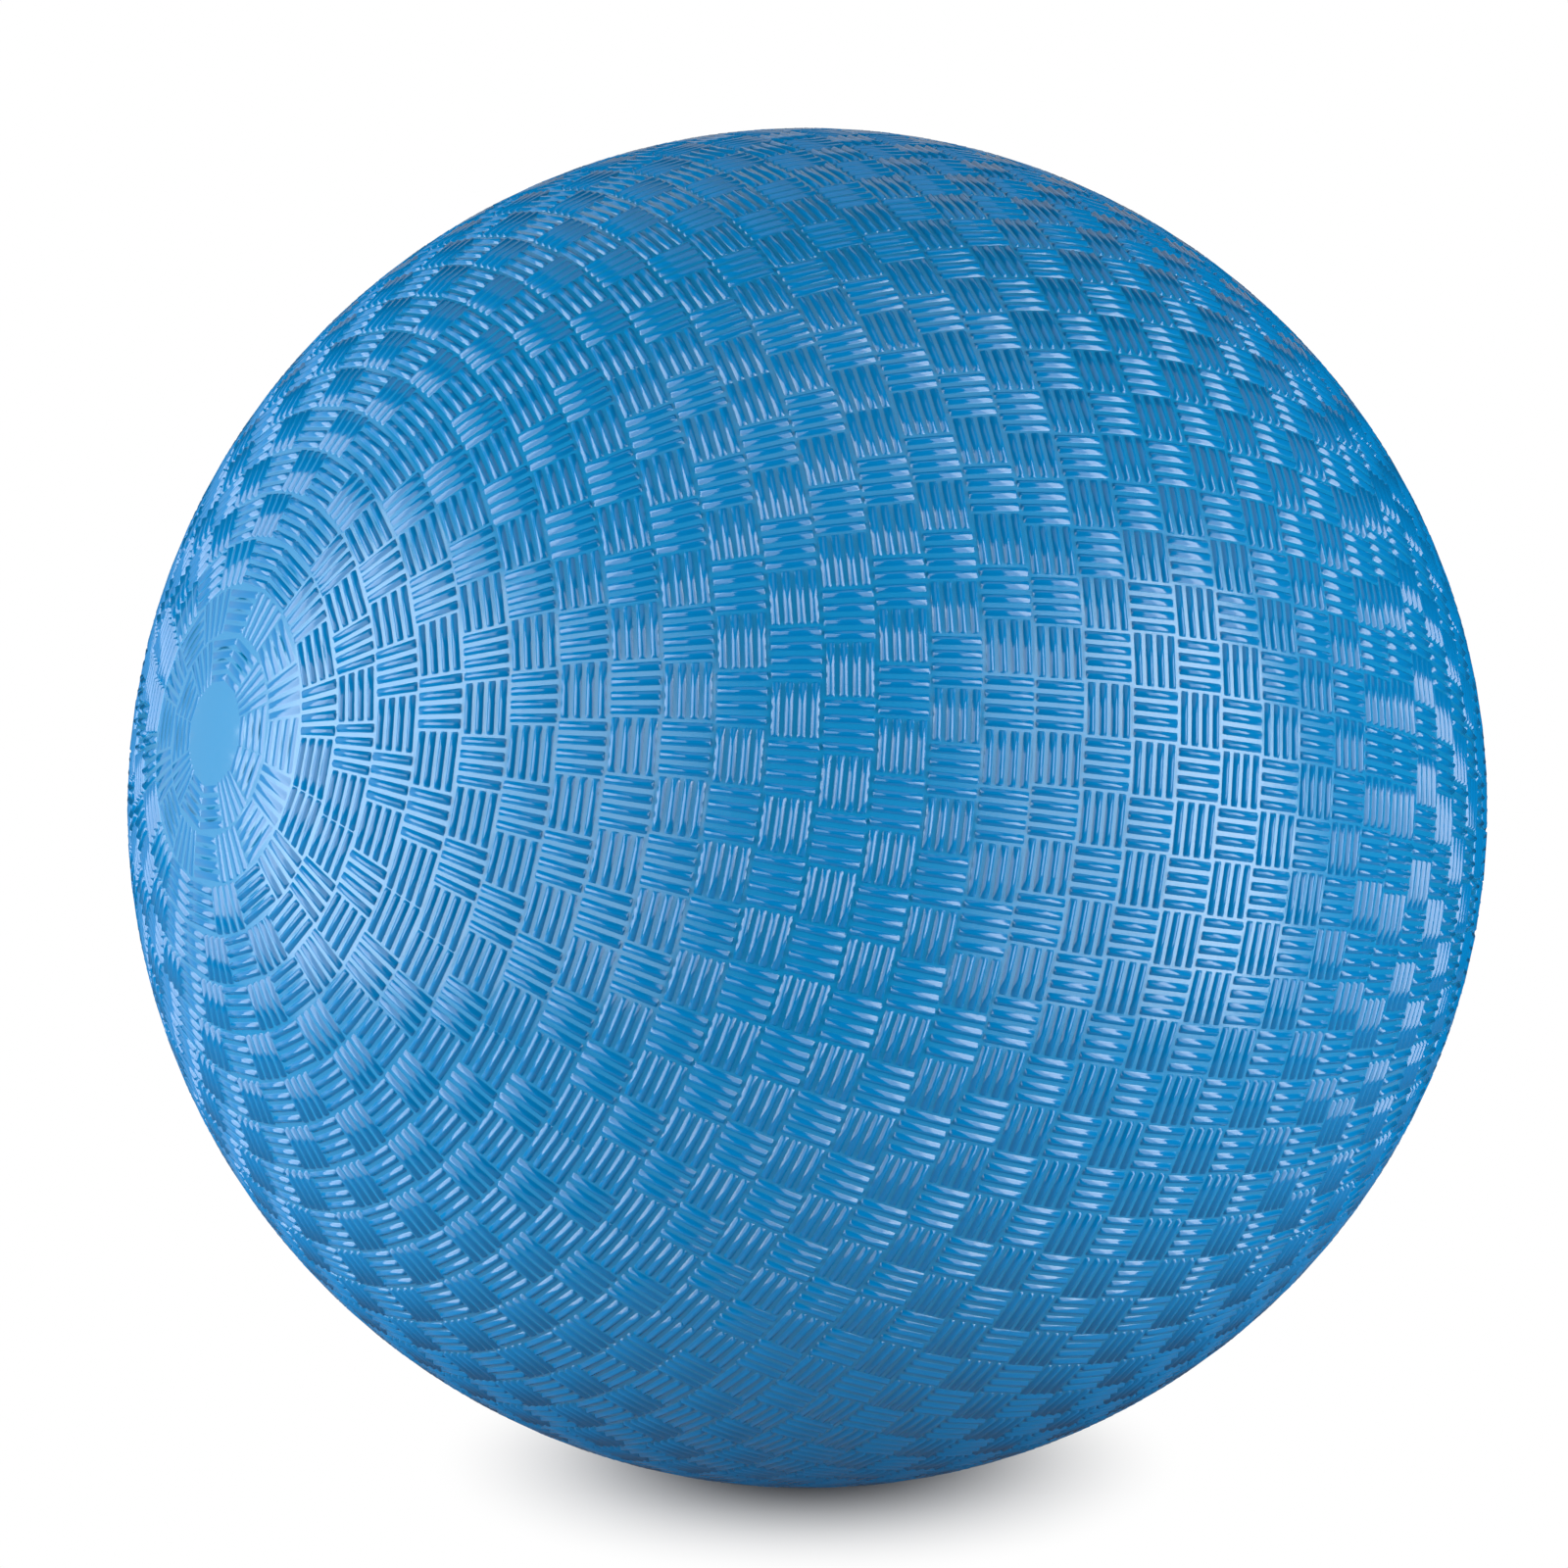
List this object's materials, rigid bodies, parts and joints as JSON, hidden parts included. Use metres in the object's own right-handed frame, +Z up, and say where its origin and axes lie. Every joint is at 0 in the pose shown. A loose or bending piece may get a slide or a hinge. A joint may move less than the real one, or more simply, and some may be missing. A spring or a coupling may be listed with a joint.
{
  "type": "playground ball",
  "caption": "Inflated rubber playground ball with a basket-weave tread: a grippy outer ply over an air-holding bladder, filled through a needle valve on one pole.",
  "frame": {"origin": "centre of the ball", "axes": "+Z up as the ball lies on the ground; -Y to the front, where the bare patch on one pole looks 11.5 degrees above the horizon; the valve is on the opposite pole, at the back"},
  "size_m": [0.2156, 0.2157, 0.216],
  "materials": {
    "cover_rubber": "satin",
    "bladder_rubber": "matte",
    "housing_rubber": "satin",
    "core_rubber": "matte"
  },
  "bodies": {
    "root": {"cover": "cover_rubber", "bladder": "bladder_rubber", "valve_housing": "housing_rubber", "valve_core": "core_rubber"}
  },
  "joints": []
}
